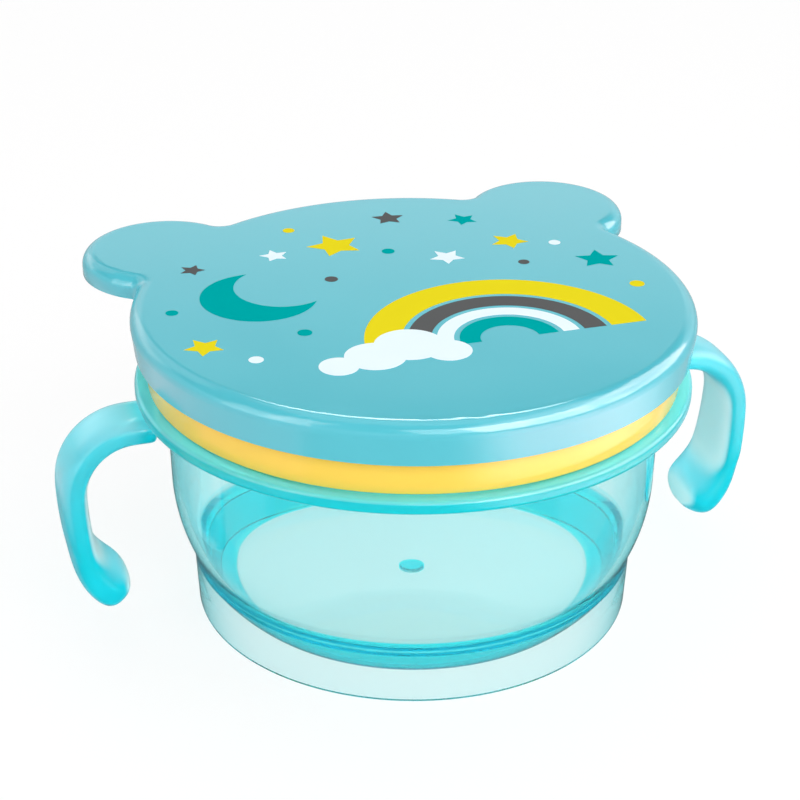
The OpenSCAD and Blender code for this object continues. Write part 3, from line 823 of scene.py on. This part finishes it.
def buildFlap():  # one flap that points along +X from the axis to its root
    n, at = insert, insertHeights()
    half = pi / n["flaps"]
    middle = at["collar"] + n["flapThick"] / 2
    tip, root = n["tipHole"] * 0.5, n["flapRoot"] + n["flapThick"] / 2 + n["gap"] + n["rootIn"]

    def halfWidth(x):
        return x * tan(half) - n["slit"] / 2 / cos(half)

    bpy.ops.object.select_all(action="DESELECT")
    bpy.ops.mesh.primitive_cube_add(size=mm, location=((tip + root) / 2 * mm, 0, middle * mm))
    flap = bpy.context.object
    flap.name = "flapForm"
    bpy.ops.transform.resize(value=(root - tip, 2 * halfWidth(root), n["flapThick"]))
    bpy.ops.object.transform_apply(location=True, rotation=True, scale=True)
    bpy.ops.object.mode_set(mode="EDIT")
    selectWhere(flap, lambda vert: vert.co.x < (tip + 1) * mm)
    bpy.ops.transform.resize(value=(1, max(0.02, halfWidth(tip)) / halfWidth(root),
                                    n["tipThick"] / n["flapThick"]),
                             center_override=(tip * mm, 0, middle * mm))
    cuts = [n["flapRoot"] + n["flex"] * (2 * i / (n["flexCuts"] - 1) - 1) for i in range(n["flexCuts"])]
    for x in cuts + n["rows"]:
        bpy.ops.mesh.select_all(action="SELECT")
        bpy.ops.mesh.bisect(plane_co=(x * mm, 0, 0), plane_no=(1, 0, 0))
    bpy.ops.object.mode_set(mode="OBJECT")
    low, high = at["collar"] - 1, at["collar"] + n["flapThick"] + 1
    corner = (n["flapRoot"] + n["flapThick"] / 2 + n["gap"]) / cos(half)
    posts = [addPost(n["tipHole"], (0, 0), low, high)]
    for turn in (-half, half):
        posts.append(addPost(n["relief"], (corner * cos(turn), corner * sin(turn)), low, high))
    cutPosts(flap, posts)
    softenEdges(flap, n["edge"])
    return flap


def buildFlaps():
    n, at = insert, insertHeights()
    first = buildFlap()
    for i in range(1, n["flaps"] + 1):
        turn = (i - 0.5) * 2 * pi / n["flaps"]
        pick(first)
        bpy.ops.object.duplicate()
        flap = bpy.context.object
        flap.name = "softFlap%d" % i
        flap.rotation_euler.z = turn
        bpy.ops.object.transform_apply(location=True, rotation=True, scale=True)
        flap.data.materials.append(softTurquoise)
        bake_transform(flap)
        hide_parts("flap_%d" % i)
    pick(first)
    bpy.ops.object.delete()


buildRing()
buildCollar()
buildFlaps()
print("ring, collar and flaps modelled")


studio = {
    "ambient": 0.5,
    "ceiling": 0.08, "bandTop": 0.345, "ceilingFrom": 0.45,  # the white surroundings dim overhead
    "worldThrough": 0.95, "floorThrough": 0.94,  # what the clear walls show
    "floorSize": 6, "floorColour": (0.9, 0.9, 0.9), "floorRoughness": 0.6,
    "floorShow": 0.82,  # how much of the floor is plain white to the camera
    "floorSheen": 0.1, "floorFar": 0.55,  # what gloss sees of the floor, near the bowl and further out
    "glowFrom": 0.122, "glowFull": 0.136,  # metres from the bowl's axis
    "glows": ((-150, -110, -60, -48, 1.0), (-12, 27, 27, 110, 5.9)),  # degrees round from the front
    "glowTint": (1, 0.58, 0.58),
    # Name, place, aim, size, power and use: "light" shows no mirror image, "sheen" shows nothing else
    "softboxes": (
        ("topSoftbox", (0.05, 0.15, 1.1), (0, 0, 0.05), (1.0, 0.8), 3, "both"),
        ("backSoftbox", (0.2, 1.2, 0.34), (0, 0, 0.08), (1.7, 0.35), 4, "light"),
        ("frontSoftbox", (0.1, -1.0, 0.75), (0, 0, 0.04), (0.9, 0.7), 8, "both"),
        ("leftSoftbox", (-0.9, -0.15, 0.4), (0, 0, 0.04), (0.4, 0.6), 2, "both"),
        ("rightSoftbox", (0.8, -0.45, 0.4), (0, 0, 0.04), (0.4, 0.6), 1.9, "both"),
        ("backSheen", (0.2, 1.2, 0.6), (0, 0, 0.08), (1.7, 0.25), 0.5, "sheen"),
        ("edgeSoftbox", (0.25, 0.78, 0.95), (0, 0, 0.07), (0.5, 0.2), 4, "sheen"),
    ),
    # Panels round the bowl that only gloss sees: name, turn, height, width and power
    "panels": (("leftPanel", -154, 0.4, 0.19, 1.3), ("frontPanel", -60, 0.4, 0.56, 8.5),
               ("rightPanel", -5, 0.4, 0.69, 6.5), ("upperPanel", -30, 0.85, 1.0, 5.0),
               ("backPanel", 122, 0.4, 0.4, 0.7)),
    "panelReach": 0.6, "panelTall": 0.5, "panelAim": (0, 0, 0.1), "panelTint": (1, 0.76, 0.72),
}


def whiteRays(nodes, links):  # 1 for rays that should see plain surroundings
    path = nodes.new("ShaderNodeLightPath")
    seen = combine(nodes, links, "MAXIMUM", path.outputs["Is Camera Ray"], path.outputs["Is Glossy Ray"])
    return combine(nodes, links, "MAXIMUM", seen, path.outputs["Is Transmission Ray"])


def byRay(nodes, links, sheen, through, direct=1.0):  # value for reflected, refracted and camera rays
    path = nodes.new("ShaderNodeLightPath")
    result = sheen
    for flag, level in (("Is Transmission Ray", through), ("Is Camera Ray", direct)):
        mix = nodes.new("ShaderNodeMix")
        links.new(path.outputs[flag], mix.inputs["Factor"])
        for label, value in (("A", result), ("B", level)):
            if isinstance(value, (int, float)):
                mix.inputs[label].default_value = value
            else:
                links.new(value, mix.inputs[label])
        result = mix.outputs["Result"]
    return result


def addWorld():
    world = bpy.data.worlds.new("studioWorld")
    bpy.context.scene.world = world
    world.use_nodes = True
    nodes, links = world.node_tree.nodes, world.node_tree.links
    nodes.clear()
    output = nodes.new("ShaderNodeOutputWorld")
    soft = nodes.new("ShaderNodeBackground")
    soft.inputs["Color"].default_value = (1, 1, 1, 1)
    soft.inputs["Strength"].default_value = studio["ambient"]
    white = nodes.new("ShaderNodeBackground")
    white.inputs["Color"].default_value = (1, 1, 1, 1)
    place = nodes.new("ShaderNodeTexCoord")
    split = nodes.new("ShaderNodeSeparateXYZ")
    links.new(place.outputs["Generated"], split.inputs["Vector"])
    ceiling = addRamp(nodes, links, split.outputs["Z"], studio["bandTop"], studio["ceilingFrom"],
                      1, studio["ceiling"])
    links.new(byRay(nodes, links, ceiling, studio["worldThrough"]), white.inputs["Strength"])
    mix = nodes.new("ShaderNodeMixShader")
    links.new(whiteRays(nodes, links), mix.inputs["Fac"])
    links.new(soft.outputs[0], mix.inputs[1])
    links.new(white.outputs[0], mix.inputs[2])
    links.new(mix.outputs[0], output.inputs["Surface"])


def addGlow(nodes, links):  # what gloss sees of the floor: plain near the bowl, two bright zones further out
    place = nodes.new("ShaderNodeTexCoord")
    split = nodes.new("ShaderNodeSeparateXYZ")
    links.new(place.outputs["Object"], split.inputs["Vector"])
    forward = nodes.new("ShaderNodeMath")
    forward.operation = "MULTIPLY"
    forward.inputs[1].default_value = -1
    links.new(split.outputs["Y"], forward.inputs[0])
    turn = combine(nodes, links, "ARCTAN2", split.outputs["X"], forward.outputs[0])  # 0 at the front
    radius = nodes.new("ShaderNodeVectorMath")
    radius.operation = "LENGTH"
    links.new(place.outputs["Object"], radius.inputs[0])
    outer = addRamp(nodes, links, radius.outputs["Value"], studio["glowFrom"], studio["glowFull"])
    total = addRamp(nodes, links, outer, 0, 1, studio["floorSheen"], studio["floorFar"])
    bright = None
    for startFrom, startTo, endFrom, endTo, level in studio["glows"]:
        zone = combine(nodes, links, "MULTIPLY",
                       addRamp(nodes, links, turn, radians(startFrom), radians(startTo)),
                       addRamp(nodes, links, turn, radians(endFrom), radians(endTo), 1, 0))
        zone = combine(nodes, links, "MULTIPLY", zone, outer)
        total = combine(nodes, links, "ADD", total, addRamp(nodes, links, zone, 0, 1, 0, level))
        bright = zone if bright is None else combine(nodes, links, "MAXIMUM", bright, zone)
    return total, bright


def addFloor():
    bpy.ops.object.select_all(action="DESELECT")
    bpy.ops.mesh.primitive_plane_add(size=studio["floorSize"], location=(0, 0, -0.0001))
    floor = bpy.context.object
    floor.name = "floor"
    material, nodes, links, shader = newMaterial("paleFloor")
    shader.inputs["Base Color"].default_value = (*studio["floorColour"], 1)
    shader.inputs["Roughness"].default_value = studio["floorRoughness"]
    white = nodes.new("ShaderNodeEmission")
    glow, bright = addGlow(nodes, links)
    links.new(byRay(nodes, links, glow, studio["floorThrough"]), white.inputs["Strength"])
    links.new(mixTint(nodes, links, byRay(nodes, links, bright, 0.0, 0.0), (1, 1, 1), studio["glowTint"]),
              white.inputs["Color"])
    show = byRay(nodes, links, 1.0, studio["floorShow"], studio["floorShow"])
    mix = nodes.new("ShaderNodeMixShader")
    links.new(combine(nodes, links, "MULTIPLY", whiteRays(nodes, links), show), mix.inputs["Fac"])
    links.new(shader.outputs[0], mix.inputs[1])
    links.new(white.outputs[0], mix.inputs[2])
    links.new(mix.outputs[0], nodes["Material Output"].inputs["Surface"])
    floor.data.materials.append(material)


def addSoftbox(name, place, aim, size, power, use, tint=(1, 1, 1)):
    bpy.ops.object.light_add(type="AREA", location=place)
    lamp = bpy.context.object
    lamp.name = name
    lamp.data.shape = "RECTANGLE"
    lamp.data.size, lamp.data.size_y = size
    lamp.data.energy = power
    lamp.visible_camera = False
    lamp.visible_transmission = False  # the clear walls show the white surroundings, not the lamps
    lamp.visible_diffuse = use != "sheen"
    lamp.visible_glossy = use != "light"
    lamp.data.color = tint
    lamp.rotation_euler = (Vector(aim) - Vector(place)).to_track_quat("-Z", "Y").to_euler()


addWorld()
addFloor()
for box in studio["softboxes"]:
    addSoftbox(*box)
for name, turn, height, width, power in studio["panels"]:
    place = (studio["panelReach"] * cos(radians(turn)), studio["panelReach"] * sin(radians(turn)), height)
    addSoftbox(name, place, studio["panelAim"], (width, studio["panelTall"]), power, "sheen",
               studio["panelTint"])
print("studio set")

bpy.context.scene.view_settings.view_transform = "Standard"
cycles = bpy.context.scene.cycles  # clear plastic needs many bounces, or its edges go black
cycles.max_bounces = 32
cycles.glossy_bounces = 20
cycles.transmission_bounces = 24
